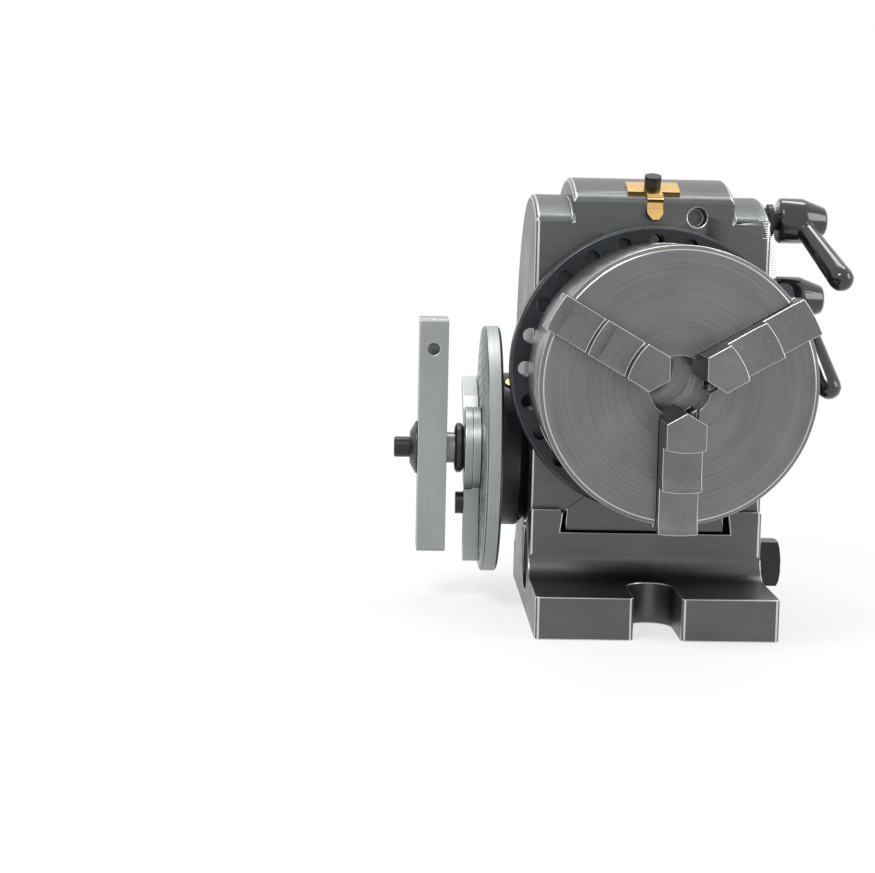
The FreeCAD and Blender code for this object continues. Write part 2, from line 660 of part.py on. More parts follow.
def make_pinion(angle):
    teeth = flat_sided(pinion_section(CROWN_IN + 0.6), pinion_section(33.8))
    start = V(0, depth(PINION_DEPTH), CENTRE_H)
    stem = turned(stepped((33.6, 36.0, 6.3), (36.0, 40.3, PINION_JOURNAL_R), (40.3, 44.9, 5.3),
                          (44.9, 49.0, PINION_JOURNAL_R)), start, X, Z)
    square = box(39.5, 52, start.y - 4, start.y + 4, CENTRE_H - 4, CENTRE_H + 4)
    stem = stem.cut(square.common(rod(start + X * 38, X, 4.9, 12)))
    return chuck_turn(teeth.fuse(stem), angle)


def make_pinion_pins():
    pins = []
    for angle in PINION_ANGLES:
        y0 = depth(PINION_DEPTH) + 5.6
        pins.append(chuck_turn(rod(V(42.5, y0, CENTRE_H), Y, 2.0, CHUCK_BACK - 0.5 - y0), angle))
    return Part.makeCompound(pins)


STEP_ENDS = (21.4, 36.4, JAW_TIP + JAW_LONG)
STEP_HEIGHTS = (JAW_PROUD, 13.1, 6.6)


def step_block(inner, outer, height):
    """One step of a jaw: a land, a short ramp and a ridge with a curved outer wall."""
    y_land, y_top = depth(1.3 - height), depth(-height)
    z = CENTRE_H - JAW_W / 2
    profile = [V(0, depth(0.5), z), V(outer + 3, depth(0.5), z), V(outer + 3, y_top, z)]
    if inner == 0:
        profile.append(V(0, y_top, z))
    else:
        profile += [V(outer - 1.8, y_top, z), V(outer - 4.8, y_land, z), V(0, y_land, z)]
    block = face_of(profile).extrude(Z * JAW_W)
    reach = max(outer, 26.0)
    round_wall = rod(V(outer - reach, depth(-40), CENTRE_H), Y, reach, 60)
    return block.common(round_wall)


def make_jaw(angle):
    tip, end = JAW_TIP, JAW_TIP + JAW_LONG
    guide = slot_section(JAW_W, JAW_W - 4.0, 0, 15.0, 0, end - 0.6)
    steps = []
    inner = 0
    for outer, height in zip(STEP_ENDS, STEP_HEIGHTS):
        steps.append(step_block(inner, outer, height))
        inner = outer
    jaw = fuse(guide, *steps)
    first = groove_radius(angle)
    while first < tip + 8:
        first += SCROLL_PITCH
    teeth = []
    while first < end - 3:
        half = 0.95
        ring = rod(V(0, depth(14.5), CENTRE_H), Y, first + half, 3.4)
        ring = ring.cut(rod(V(0, depth(14.5), CENTRE_H), Y, first - half, 3.4))
        teeth.append(ring.common(box(5, 60, -120, -80, CENTRE_H - TOOTH_W / 2,
                                     CENTRE_H + TOOTH_W / 2)))
        first += SCROLL_PITCH
    jaw = jaw.multiFuse(teeth)
    half = JAW_W / 2
    reach = half / math.tan(math.radians(60))
    wedge = face_of([V(tip - 40, -200, CENTRE_H - 30), V(tip, -200, CENTRE_H),
                     V(tip + 3 * reach, -200, CENTRE_H + 3 * half),
                     V(tip - 40, -200, CENTRE_H + 3 * half)]).extrude(Y * 150)
    other = wedge.mirror(V(0, 0, CENTRE_H), Z)
    keep = face_of([V(tip, -200, CENTRE_H), V(tip + 3 * reach, -200, CENTRE_H + 3 * half),
                    V(90, -200, CENTRE_H + 3 * half), V(90, -200, CENTRE_H - 3 * half),
                    V(tip + 3 * reach, -200, CENTRE_H - 3 * half)]).extrude(Y * 150)
    return chuck_turn(jaw.common(keep), angle)


# ---- worm group and left flank -------------------------------------------------------
SHAFT_R = 6.4
NOSE_END = -71.8


def make_worm_housing():
    housing = on_worm([(SLEEVE_END - 0.3, 0), (SLEEVE_END - 0.3, SLEEVE_R - 0.01),
                       (-HALF_W, SLEEVE_R - 0.01), (-HALF_W, 28.0), (-HALF_W - 3.5, HOUSING_R),
                       (PLATE_IN + 0.8, HOUSING_R), (PLATE_IN, HOUSING_R - 0.8),
                       (PLATE_IN, 17.0), (PLATE_OUT, 17.0), (PLATE_OUT, 9.0), (NOSE_END, 9.0),
                       (NOSE_END, 7.7), (-75.2, 7.7), (-75.2, 0)])
    bore = worm_bore(-80, -20, SHAFT_R + FIT)
    oil = oiler_axis()
    oil_hole = rod(oil[0] - oil[1] * 6, oil[1], 2.5, 10).fuse(
        rod(oil[0] - oil[1] * 0.4, oil[1], 3.1, 5))
    screws = [rod(p - X, X, 2.1, 12) for p in plate_screw_places()]
    return housing.cut(fuse(bore, oil_hole)).cut(Part.makeCompound(screws))


def oiler_axis():
    out = V(0, -0.44, 0.9).normalize()
    return V(-52.6, 0, WORM_Z) + out * HOUSING_R, out


def make_oiler():
    place, out = oiler_axis()
    body = rod(place - out * 5.5, out, 2.5, 5.5).fuse(rod(place - out * 0.4, out, 3.1, 1.1))
    return body.fuse(rod(place, out, 1.5, 1.6))


def plate_screw_places():
    return [V(PLATE_IN, 24.3 * math.cos(a), WORM_Z + 24.3 * math.sin(a))
            for a in (math.radians(d) for d in (37.5, 157.5, 277.5))]


def make_index_plate():
    plate = on_worm([(PLATE_OUT, 0), (PLATE_OUT, PLATE_R - 0.8), (PLATE_OUT + 0.8, PLATE_R),
                     (PLATE_IN - 0.8, PLATE_R), (PLATE_IN, PLATE_R - 0.8), (PLATE_IN, 0)])
    plate = plate.cut(worm_bore(-70, -50, 17.02))
    holes = []
    for radius, count in HOLE_CIRCLES:
        for i in range(count):
            a = 2 * math.pi * i / count
            place = V(PLATE_OUT - 0.5, radius * math.sin(a), WORM_Z + radius * math.cos(a))
            holes.append(prism_cutter(place, X, Z, 1.25, 8, 4.5))
    for place in plate_screw_places():
        holes.append(rod(place - X * 8, X, 2.1, 9))
    return plate.cut(Part.makeCompound(holes))


def make_plate_screws():
    return Part.makeCompound([rod(p - X * 6.5, X, 2.1, 14) for p in plate_screw_places()])


SECTOR_IN, SECTOR_MID, SECTOR_OUT = -64.9, -68.1, -71.4
SECTOR_HUB_R = 17.0
SECTOR_SCREW_Z = WORM_Z - 23.0


def sector_arm(hub_start, hub_end, angle):
    """Hub ring of half thickness and a blade of full thickness, angle 0 straight down."""
    hub = worm_bore(hub_start, hub_end, SECTOR_HUB_R)
    outline = [V(SECTOR_OUT, -4.0, WORM_Z - 12), V(SECTOR_OUT, 4.0, WORM_Z - 12),
               V(SECTOR_OUT, 4.0, WORM_Z - 30), V(SECTOR_OUT, 1.5, WORM_Z - 47),
               V(SECTOR_OUT, -4.0, WORM_Z - 47)]
    blade = face_of(outline).extrude(X * (SECTOR_IN - SECTOR_OUT))
    other_half = worm_bore(SECTOR_OUT - 1, SECTOR_IN + 1, SECTOR_HUB_R + 0.3)
    arm = blade.cut(other_half).fuse(hub)
    bridge = blade.common(worm_bore(hub_start, hub_end, SECTOR_HUB_R + 0.4))
    arm = arm.fuse(bridge).cut(worm_bore(-80, -60, 9.0 + FIT))
    if hub_end == SECTOR_IN:
        arm = arm.cut(rod(V(SECTOR_OUT - 1, 0, SECTOR_SCREW_Z), X, 2.0, 5.7))
    arm.rotate(V(0, 0, WORM_Z), X, angle)
    return arm


def make_sector_screw():
    place = V(SECTOR_OUT - 3.3, 0, SECTOR_SCREW_Z)
    return rod(place, X, 4.6, 3.3).fuse(rod(place, X, 2.0, 8.0))


def make_sector_retainer():
    ring = on_worm([(-72.0, 0), (-72.0, 9.3), (-73.0, 10.3), (-74.6, 10.3), (-75.4, 8.8),
                    (-75.4, 0)])
    return ring.cut(worm_bore(-80, -70, 7.7))


def worm_thread():
    """Single right-hand thread of trapezoid section, with one crest straight up at x = 0."""
    turns = 6.5
    half = WORM_LEAD / 4 - BACKLASH / 4
    slope = math.tan(math.radians(20))
    low, high = WORM_PITCH_R - 1.25 * MODULE, WORM_PITCH_R + MODULE
    helix = Part.makeHelix(WORM_LEAD, WORM_LEAD * turns, low)
    foot, crest = half + slope * (WORM_PITCH_R - low), half - slope * (high - WORM_PITCH_R)
    section = Part.makePolygon([V(low - 0.3, 0, -foot), V(high, 0, -crest), V(high, 0, crest),
                                V(low - 0.3, 0, foot), V(low - 0.3, 0, -foot)])
    sweep = Part.BRepOffsetAPI.MakePipeShell(helix)
    sweep.setFrenetMode(True)
    sweep.add(section)
    sweep.build()
    sweep.makeSolid()
    thread = sweep.shape()
    # local X, Y, Z become world Y, Z, X
    thread.rotate(V(0, 0, 0), V(1, 1, 1), 120)
    thread.translate(V(-WORM_LEAD * turns / 2, 0, WORM_Z))
    return thread


def make_worm_shaft():
    core_r = WORM_PITCH_R - 1.25 * MODULE
    shaft = on_worm(stepped((-90.3, -78.9, 5.0), (-78.9, -19.3, SHAFT_R), (-19.3, 17.5, core_r),
                            (17.5, 33.0, WORM_END_R)))
    flats = [box(-90.4, -78.9, -8, 8, WORM_Z + 4.0, WORM_Z + 10),
             box(-90.4, -78.9, -8, 8, WORM_Z - 10, WORM_Z - 4.0)]
    shaft = shaft.cut(fuse(*flats)).cut(worm_bore(-91, -79, 2.5))
    thread = worm_thread()
    return shaft.fuse(thread)


def make_worm_bush():
    ring = worm_bore(18.0, 34.0, WORM_BUSH_R)
    return ring.cut(worm_bore(17, 35, WORM_END_R + FIT))


BAR_IN, BAR_OUT = -78.9, -90.8
BAR_UP, BAR_DOWN, BAR_HALF = 54.0, 42.0, 11.0
BAR_HOLE_UP = 41.6        # plunger bore above the worm axis


def make_crank_bar():
    """Crank bar: slot over the shaft's flats, plunger bore above, handle bore below."""
    bar = box(BAR_OUT, BAR_IN, -BAR_HALF, BAR_HALF, WORM_Z - BAR_DOWN, WORM_Z + BAR_UP)
    edges = [e for e in bar.Edges if abs(abs(e.tangentAt(e.FirstParameter).x) - 1) < 1e-6]
    bar = bar.makeFillet(1.6, edges)
    slot = fuse(box(-95, -75, -5.0, 5.0, WORM_Z - 4.05, WORM_Z + 4.05),
                rod(V(-95, 0, WORM_Z), X, 5.05, 20).common(
                    box(-95, -75, -6, 6, WORM_Z - 4.05, WORM_Z + 4.05)))
    plunger = rod(V(-95, 0, WORM_Z + BAR_HOLE_UP), X, 6.0, 20)
    handle = rod(V(-95, 0, WORM_Z - 30), X, 4.0, 20)
    grub = rod(V((BAR_IN + BAR_OUT) / 2, -BAR_HALF - 1, WORM_Z + BAR_HOLE_UP), Y, 2.5, 12)
    return bar.cut(slot).cut(plunger).cut(handle).cut(grub)


def make_crank_washer():
    washer = on_worm([(-90.8, 0), (-90.8, 10.9), (-91.6, 10.9), (-94.0, 6.6), (-94.0, 0)])
    return washer.cut(worm_bore(-100, -80, 2.6))


def make_crank_screw():
    start = V(-94.0, 0, WORM_Z)
    screw = socket_head(start, -X, 4.25, 6.5, 2.5, 14)
    return screw


# ---- pointer ---------------------------------------------------------------------------
def make_zero_pointer():
    """Brass T-plate on the band with a tongue bent down over the front face."""
    inner, outer = BAND_R + 0.02, BAND_R + 1.5
    profile = face_of([V(-10.3, 0, CENTRE_H + inner), V(10.3, 0, CENTRE_H + inner),
                       V(10.3, 0, CENTRE_H + outer), V(-10.3, 0, CENTRE_H + outer)])
    bar = profile.revolve(V(0, 0, CENTRE_H), X, 8.5)
    bar.rotate(V(0, 0, CENTRE_H), X, 16.5)
    strap = face_of([V(-3.1, 0, CENTRE_H + inner), V(3.1, 0, CENTRE_H + inner),
                     V(3.1, 0, CENTRE_H + outer), V(-3.1, 0, CENTRE_H + outer)])
    strap = strap.revolve(V(0, 0, CENTRE_H), X, 13.2)
    strap.rotate(V(0, 0, CENTRE_H), X, 16.5)
    front = FACE_Y - 0.02
    bend = [V(-3.1, front - 1.4, 168.4), V(-3.1, front, 167.2), V(-3.1, front, 162.6),
            V(-3.1, -38.4, 157.9), V(-3.1, -39.6, 158.5), V(-3.1, front - 1.4, 163.0)]
    tongue = face_of(bend).extrude(X * 6.2)
    arrow = face_of([V(-3.2, -45, 170), V(3.2, -45, 170), V(3.2, -45, 161.0), V(0, -45, 157.0),
                     V(-3.2, -45, 161.0)]).extrude(Y * 12)
    plate = fuse(bar, strap, tongue.common(arrow))
    place, out = pointer_screw_axis()
    return plate.cut(rod(place - out * 2, out, 2.1, 6))


def pointer_screw_axis():
    a = math.radians(20.4)
    out = V(0, -math.sin(a), math.cos(a))
    return V(0, 0, CENTRE_H) + out * (BAND_R + 1.5), out


def make_pointer_screw():
    place, out = pointer_screw_axis()
    return socket_head(place, out, 3.3, 4.2, 2.0, 8)


# ---- the assembly ------------------------------------------------------------------------
def main():
    os.makedirs("parts", exist_ok=True)
    save("base", make_base())
    save("clamp_bolt", make_clamp_bolt())
    save("clamp_washer", make_clamp_washer())
    save("clamp_nut", make_clamp_nut())
    save("swivel_body", make_swivel_body())
    save("front_bush", make_front_bush())
    save("rear_cap", make_rear_cap())
    save("rear_bush", make_rear_bush())
    save("cap_screws", make_cap_screws())
    save("lock_cotters", make_lock_cotters())
    save("lock_lever", make_lever(LOCK_Z, 30.0))
    save("lock_stud", make_lock_stud())
    save("plunger_lever", make_lever(PLUNGER_CAM_Z, 56.0))
    save("plunger_cam", make_plunger_cam())
    save("index_plunger", make_index_plunger())
    save("zero_pointer", make_zero_pointer())
    save("pointer_screw", make_pointer_screw())
    save("spindle", make_spindle())
    save("wheel_key", make_wheel_key())
    save("worm_wheel", make_worm_wheel())
    save("spindle_nut", make_spindle_nut())
    save("index_ring", make_index_ring())
    save("chuck_flange", make_chuck_flange())
    save("chuck_screws", make_chuck_screws())
    save("chuck_body", make_chuck_body())
    save("chuck_cover", make_chuck_cover())
    save("cover_screws", make_cover_screws())
    save("pinion_pins", make_pinion_pins())
    save("scroll", make_scroll())
    for number, angle in enumerate(PINION_ANGLES, 1):
        save("pinion_%d" % number, make_pinion(angle))
    for number, angle in enumerate(JAW_ANGLES, 1):
        save("jaw_%d" % number, make_jaw(angle))
    save("worm_housing", make_worm_housing())
    save("oiler", make_oiler())
    save("index_plate", make_index_plate())
    save("plate_screws", make_plate_screws())
    save("sector_arm_inner", sector_arm(SECTOR_MID, SECTOR_IN, 0.0))
    save("sector_arm_outer", sector_arm(SECTOR_OUT, SECTOR_MID - 0.1, 123.0))
    save("sector_screw", make_sector_screw())
    save("sector_retainer", make_sector_retainer())
    save("worm_shaft", make_worm_shaft())
    save("worm_bush", make_worm_bush())
    save("crank_bar", make_crank_bar())
    save("crank_washer", make_crank_washer())
    save("crank_screw", make_crank_screw())


main()
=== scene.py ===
"""Finishes, scales, crank screw and stage for a dividing head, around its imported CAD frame."""

import json
import math

import bmesh
import bpy
from bpy.props import FloatProperty, FloatVectorProperty, PointerProperty
from mathutils import Matrix, Vector

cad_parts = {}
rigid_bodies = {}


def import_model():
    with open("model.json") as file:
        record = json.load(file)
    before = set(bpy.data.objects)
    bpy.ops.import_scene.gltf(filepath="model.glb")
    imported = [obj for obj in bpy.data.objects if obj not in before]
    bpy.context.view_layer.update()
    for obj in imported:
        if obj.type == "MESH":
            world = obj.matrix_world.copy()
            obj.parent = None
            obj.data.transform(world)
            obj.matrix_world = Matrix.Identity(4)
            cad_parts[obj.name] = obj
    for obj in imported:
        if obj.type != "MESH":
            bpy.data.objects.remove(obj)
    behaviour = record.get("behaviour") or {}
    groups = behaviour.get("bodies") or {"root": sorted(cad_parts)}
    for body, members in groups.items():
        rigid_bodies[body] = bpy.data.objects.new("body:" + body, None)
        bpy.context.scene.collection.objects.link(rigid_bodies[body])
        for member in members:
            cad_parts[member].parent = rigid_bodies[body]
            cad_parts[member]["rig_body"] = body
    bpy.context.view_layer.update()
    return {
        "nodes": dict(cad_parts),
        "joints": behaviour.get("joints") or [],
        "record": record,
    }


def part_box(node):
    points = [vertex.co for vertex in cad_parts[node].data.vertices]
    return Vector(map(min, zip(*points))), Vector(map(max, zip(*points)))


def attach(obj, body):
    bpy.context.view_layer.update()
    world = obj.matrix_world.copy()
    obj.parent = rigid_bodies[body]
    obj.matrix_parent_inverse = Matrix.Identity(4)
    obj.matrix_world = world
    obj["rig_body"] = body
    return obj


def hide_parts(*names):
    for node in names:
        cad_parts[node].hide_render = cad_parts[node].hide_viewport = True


bl_info = {
    "name": "Dividing head",
    "version": (1, 0, 0),
    "blender": (4, 5, 0),
    "location": "3D View > Sidebar > Dividing head",
    "description": "Dresses the packed dividing head with its finishes, dials and small parts",
    "category": "Object",
}

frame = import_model()

# ---- places and sizes, in metres, from the frame ------------------------------------
MM = 0.001
RING_POINTS = 48          # corners of a ring from which a screw is built
SCREW_SHANK_R, SCREW_KEY_R, SCREW_HEAD_R = 2.5 * MM, 2.3 * MM, 4.25 * MM
SOCKET_DEPTH = 0.45       # bottom of a screw's socket, as a share of the head's height
HEAD_BEVEL = 0.12         # bevel of a screw's head, as a share of the head's radius
SHOULDER_R = 68.0 * MM    # the swivel body's shoulder, which carries the tilt scale
RING_SCALE_STEP = 3       # degrees between the lines of the direct-index ring
TILT_SCALE_SPAN = 60      # degrees of the tilt scale on each side of upright
RING_MARGIN, EAR_MARGIN = 1.0 * MM, 1.6 * MM   # scales start this far inside the edge
WELD = 0.002 * MM         # corners closer than this are joined
X, Y, Z = Vector((1, 0, 0)), Vector((0, 1, 0)), Vector((0, 0, 1))
NODE_SLOT = {s["node"]: s["material_slot"] for s in frame["record"]["subparts"]}
JOINT_PLACE = {j["name"]: Vector(j["pos_m"]) for j in frame["joints"] if j.get("pos_m")}


class Axis:
    """A turning axis: points are given by distance along it, radius, and angle from up."""

    def __init__(self, origin, along, up=Z):
        self.origin, self.along, self.up = origin, along, up
        self.side = along.cross(up)

    def out(self, angle):
        """Unit vector away from the axis, angle in degrees from up, turning about the axis."""
        a = math.radians(angle)
        return self.up * math.cos(a) + self.side * math.sin(a)

    def point(self, along, radius=0.0, angle=0.0):
        return self.origin + self.along * along + self.out(angle) * radius


SPINDLE = Axis(JOINT_PLACE["tilt"], Y)
TILT = Axis(JOINT_PLACE["tilt"], X)
WORM = Axis(Vector((0, 0, JOINT_PLACE["worm_turn"].z)), X)


# ---- settings ------------------------------------------------------------------------
def colour_property(name, description, value):
    return FloatVectorProperty(
        name=name, description=description, subtype="COLOR", size=3, min=0, max=1, default=value)


def length_property(name, description, value):
    return FloatProperty(
        name=name, description=description, subtype="DISTANCE", unit="LENGTH", default=value)


class FinishSettings(bpy.types.PropertyGroup):
    """Colours of the finishes."""
    iron: colour_property("Iron", "Ground cast iron of base and swivel body", (0.115, 0.122, 0.118))
    turned: colour_property("Turned steel", "Chuck body and spindle", (0.175, 0.18, 0.185))
    jaw: colour_property("Jaw steel", "Hardened and ground jaws", (0.17, 0.175, 0.17))
    pale: colour_property("Pale steel", "Crank bar and sector arms", (0.33, 0.35, 0.335))
    # edge: painted highlight, a bright colour on broken edges in place of the light they catch; the
    # dial lines take it as their own colour
    edge: colour_property("Worn edge", "Bare metal where an edge is broken", (0.55, 0.57, 0.56))
    oxide: colour_property("Black oxide", "Blackened steel", (0.014, 0.016, 0.019))
    lever: colour_property("Lever black", "Gloss black of the levers", (0.008, 0.008, 0.011))
    brass: colour_property("Brass", "Pointer and oilers", (0.72, 0.47, 0.17))
    bronze: colour_property("Bronze", "Worm wheel and bushes", (0.55, 0.34, 0.16))


class EdgeSettings(bpy.types.PropertyGroup):
    """Sizes of the broken edges."""
    heavy: length_property("Heavy edges", "Edge break on castings", 0.45 * MM)
    light: length_property("Light edges", "Edge break on turned and ground parts", 0.25 * MM)


class DialSettings(bpy.types.PropertyGroup):
    """Sizes of the graduations."""
    line: length_property("Line width", "Width of a graduation line", 0.16 * MM)
    short: length_property("Short line", "Length of a one-degree line", 2.0 * MM)
    long: length_property("Long line", "Length of a ten-degree line", 3.6 * MM)
    proud: length_property("Line rise", "How far a line stands over its rim", 0.03 * MM)


class StageSettings(bpy.types.PropertyGroup):
    """Floor, lamps and world."""
    floor: colour_property("Floor", "Colour of floor and backdrop", (0.93, 0.935, 0.94))
    world: FloatProperty(name="World", description="Strength of the even light", default=0.55, min=0)
    key: FloatProperty(name="Key lamp", description="Power of the key lamp", unit="POWER", default=9.0)
    lens: FloatProperty(name="Lens", description="Focal length", unit="CAMERA", default=78.41)


class DividingHeadSettings(bpy.types.PropertyGroup):
    """All settings of the dividing head."""
    finish: PointerProperty(type=FinishSettings)
    edge: PointerProperty(type=EdgeSettings)
    dial: PointerProperty(type=DialSettings)
    stage: PointerProperty(type=StageSettings)


def settings():
    return bpy.context.scene.dividing_head


# ---- materials -------------------------------------------------------------------------
def add_node(tree, kind, values=None, **properties):
    """A shader node with its properties set and its inputs given as values or links."""
    node = tree.nodes.new(kind)
    for key, value in properties.items():
        setattr(node, key, value)
    for socket, value in (values or {}).items():
        if isinstance(value, bpy.types.NodeSocket):
            tree.links.new(value, node.inputs[socket])
        else:
            node.inputs[socket].default_value = value
    return node


def math_node(tree, operation, first, second=0.0):
    return add_node(tree, "ShaderNodeMath", {0: first, 1: second}, operation=operation).outputs[0]


def vector_node(tree, operation, first, second=(0, 0, 0)):
    node = add_node(tree, "ShaderNodeVectorMath", {0: first, 1: second}, operation=operation)
    return node.outputs["Value" if operation in ("LENGTH", "DOT_PRODUCT") else "Vector"]


def blank_material(name):
    material = bpy.data.materials.new(name)
    material.use_nodes = True
    material.node_tree.nodes.clear()
    return material, material.node_tree


def place_node(tree):
    return add_node(tree, "ShaderNodeTexCoord").outputs["Object"]


def scaled_noise(tree, vector, scale, detail=3.0, roughness=0.5):
    return add_node(tree, "ShaderNodeTexNoise", {
        "Vector": vector_node(tree, "MULTIPLY", vector, scale), "Scale": 1.0,
        "Detail": detail, "Roughness": roughness}).outputs["Fac"]


def stretched(tree, value, low, high, from_low=0.3, from_high=0.7):
    return add_node(tree, "ShaderNodeMapRange", {
        "Value": value, "From Min": from_low, "From Max": from_high,
        "To Min": low, "To Max": high}).outputs["Result"]


def shaded(tree, colour, factor):
    """The colour, brightened or darkened by a factor that varies over the surface."""
    return vector_node(tree, "MULTIPLY", (*colour,), factor)


def turning_vectors(tree, axis):
    """Groove coordinates and tangent of a surface turned about an axis."""
    offset = vector_node(tree, "SUBTRACT", place_node(tree), tuple(axis.origin))
    along = vector_node(tree, "DOT_PRODUCT", offset, tuple(axis.along))
    flat = vector_node(tree, "SUBTRACT", offset, add_node(
        tree, "ShaderNodeVectorMath", {0: tuple(axis.along), "Scale": along},
        operation="SCALE").outputs["Vector"])
    radius = vector_node(tree, "LENGTH", flat)
    out = vector_node(tree, "NORMALIZE", flat)
    groove = math_node(tree, "ADD", along, radius)
    parts = add_node(tree, "ShaderNodeSeparateXYZ", {0: out})
    first, second = [parts.outputs[i] for i in range(3) if abs(axis.along[i]) < 0.5]
    grooves = add_node(tree, "ShaderNodeCombineXYZ", {0: groove, 1: first, 2: second}).outputs[0]
    tangent = vector_node(tree, "CROSS_PRODUCT", tuple(axis.along), out)
    world = add_node(tree, "ShaderNodeVectorTransform", {"Vector": tangent},
                     vector_type="VECTOR", convert_from="OBJECT", convert_to="WORLD")
    return grooves, world.outputs["Vector"]


def finish_output(tree, colour, roughness, height=None, depth=0.0, **shader):
    """Principled shader with a linked colour and roughness and an optional bump."""
    values = {"Base Color": colour, "Roughness": roughness}
    values.update({key.replace("_", " ").title(): value for key, value in shader.items()})
    if height is not None:
        values["Normal"] = add_node(tree, "ShaderNodeBump", {
            "Height": height, "Strength": 1.0, "Distance": depth}).outputs["Normal"]
    principled = add_node(tree, "ShaderNodeBsdfPrincipled", values)
    add_node(tree, "ShaderNodeOutputMaterial", {"Surface": principled.outputs["BSDF"]})


def ground_finish(name, colour, roughness, grain=(60, 2600, 2600), contrast=0.10):
    """Ground metal: fine parallel lines over broad, faint clouding."""
    material, tree = blank_material(name)
    place = place_node(tree)
    lines = scaled_noise(tree, place, grain, detail=2.0)
    clouds = scaled_noise(tree, place, (38, 38, 38), detail=4.0, roughness=0.6)
    fleck = scaled_noise(tree, place, (900, 900, 900), detail=1.0)
    tone = math_node(tree, "ADD", stretched(tree, clouds, 1 - contrast, 1 + contrast),
                     stretched(tree, lines, -0.6 * contrast, 0.6 * contrast))
    tone = math_node(tree, "ADD", tone, stretched(tree, fleck, -0.03, 0.03))
    rough = stretched(tree, clouds, roughness - 0.05, roughness + 0.07)
    finish_output(tree, shaded(tree, colour, tone), rough, lines, 0.004 * MM, metallic=1.0)
    return material


def turned_finish(name, colour, roughness, axis, contrast=0.12, anisotropic=0.7):
    """Turned metal: fine concentric lines with the streaks of light that they make."""
    material, tree = blank_material(name)
    grooves, tangent = turning_vectors(tree, axis)
    lines = scaled_noise(tree, grooves, (2400, 0.7, 0.7), detail=2.0)
    bands = scaled_noise(tree, grooves, (170, 0.9, 0.9), detail=2.0)
    clouds = scaled_noise(tree, place_node(tree), (45, 45, 45), detail=4.0, roughness=0.6)
    tone = math_node(tree, "ADD", stretched(tree, lines, 1 - contrast, 1 + contrast),
                     stretched(tree, bands, -0.5 * contrast, 0.5 * contrast))
    tone = math_node(tree, "ADD", tone, stretched(tree, clouds, -0.08, 0.08))
    rough = stretched(tree, bands, roughness - 0.04, roughness + 0.05)
    finish_output(tree, shaded(tree, colour, tone), rough, lines, 0.002 * MM,
                  metallic=1.0, anisotropic=anisotropic, tangent=tangent)
    return material


def oxide_finish(name, colour, roughness, metallic=0.35):
    """Blackened steel with faint rubbed patches."""
    material, tree = blank_material(name)
    place = place_node(tree)
    clouds = scaled_noise(tree, place, (60, 60, 60), detail=5.0, roughness=0.65)
    grit = scaled_noise(tree, place, (1800, 1800, 1800), detail=1.0)
    tone = stretched(tree, clouds, 0.7, 1.6)
    rough = stretched(tree, clouds, roughness - 0.08, roughness + 0.08)
    finish_output(tree, shaded(tree, colour, tone), rough, grit, 0.004 * MM, metallic=metallic)
    return material


def plain_finish(name, colour, roughness, metallic, mottle=0.06, **shader):
    """Smooth finish with only a slight unevenness."""
    material, tree = blank_material(name)
    clouds = scaled_noise(tree, place_node(tree), (80, 80, 80), detail=3.0)
    tone = stretched(tree, clouds, 1 - mottle, 1 + mottle)
    rough = stretched(tree, clouds, max(roughness - 0.03, 0.02), roughness + 0.04)
    finish_output(tree, shaded(tree, colour, tone), rough, metallic=metallic, **shader)
    return material


def make_finishes():
    """Every finish, by the name of the record's material slot."""
    f = settings().finish
    return {
        "ground_iron": ground_finish("ground_iron", f.iron, 0.36),
        "turned_steel": turned_finish("turned_steel", f.turned, 0.30, SPINDLE),
        "jaw_steel": ground_finish("jaw_steel", f.jaw, 0.33, (1500, 1500, 1500), 0.16),
        "pale_steel": ground_finish("pale_steel", f.pale, 0.42, (2200, 2200, 90), 0.07),
        "black_oxide": oxide_finish("black_oxide", f.oxide, 0.34),
        "index_plate": turned_finish("index_plate", f.pale, 0.38, WORM),
        "gloss_black": plain_finish("gloss_black", f.lever, 0.14, 0.0, coat_weight=0.6),
        "brass": plain_finish("brass", f.brass, 0.24, 1.0),
        "bronze": plain_finish("bronze", f.bronze, 0.38, 1.0, 0.12),
        # painted highlight on broken edges of castings, chuck and worm drive; also the dial lines' own
        # colour
        "painted_edge_highlight_and_dial_line": plain_finish("painted_edge_highlight_and_dial_line", f.edge, 0.30, 1.0, 0.12),
        # painted highlight: broken edges of blackened parts, the oxide made three and a half times
        # brighter
        "painted_highlight_oxide_edge": oxide_finish("painted_highlight_oxide_edge", [c * 3.5 for c in f.oxide], 0.28, 0.6),
    }


FINISHES = {}


# ---- pieces ------------------------------------------------------------------------------
def smooth_shading(mesh, sharp=math.radians(32)):
    mesh.polygons.foreach_set("use_smooth", [True] * len(mesh.polygons))
    mesh.set_sharp_from_angle(angle=sharp)


def dress_node(node, finish=None):
    """Give a CAD node that keeps its own mesh its finish."""
    piece = frame["nodes"][node]
    piece.data.materials.clear()
    piece.data.materials.append(FINISHES[finish or NODE_SLOT[node]])
    piece.data.polygons.foreach_set("use_smooth", [True] * len(piece.data.polygons))


def piece_from(bm, name, body, slot, finish=None, replaces=()):
    """An object from a bmesh, riding on a body and taking its finish."""
    mesh = bpy.data.meshes.new(name)
    bm.to_mesh(mesh)
    bm.free()
    piece = bpy.data.objects.new(name, mesh)
    bpy.context.scene.collection.objects.link(piece)
    mesh.materials.append(FINISHES[finish or slot])
    smooth_shading(mesh)
    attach(piece, body)
    if replaces:
        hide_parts(*replaces)
    return piece


def edge_break(piece, width, segments, edge_finish):
    """Rounded edges of their own finish, as a modifier; a finish brighter than the part paints a
    highlight on them.
    """
    piece.data.materials.append(FINISHES[edge_finish])
    bevel = piece.modifiers.new("edge_break", "BEVEL")
    bevel.width = width
    bevel.segments = segments
    bevel.limit_method = "ANGLE"
    bevel.angle_limit = math.radians(35)
    bevel.use_clamp_overlap = False
    bevel.harden_normals = True
    bevel.material = 1
    return piece


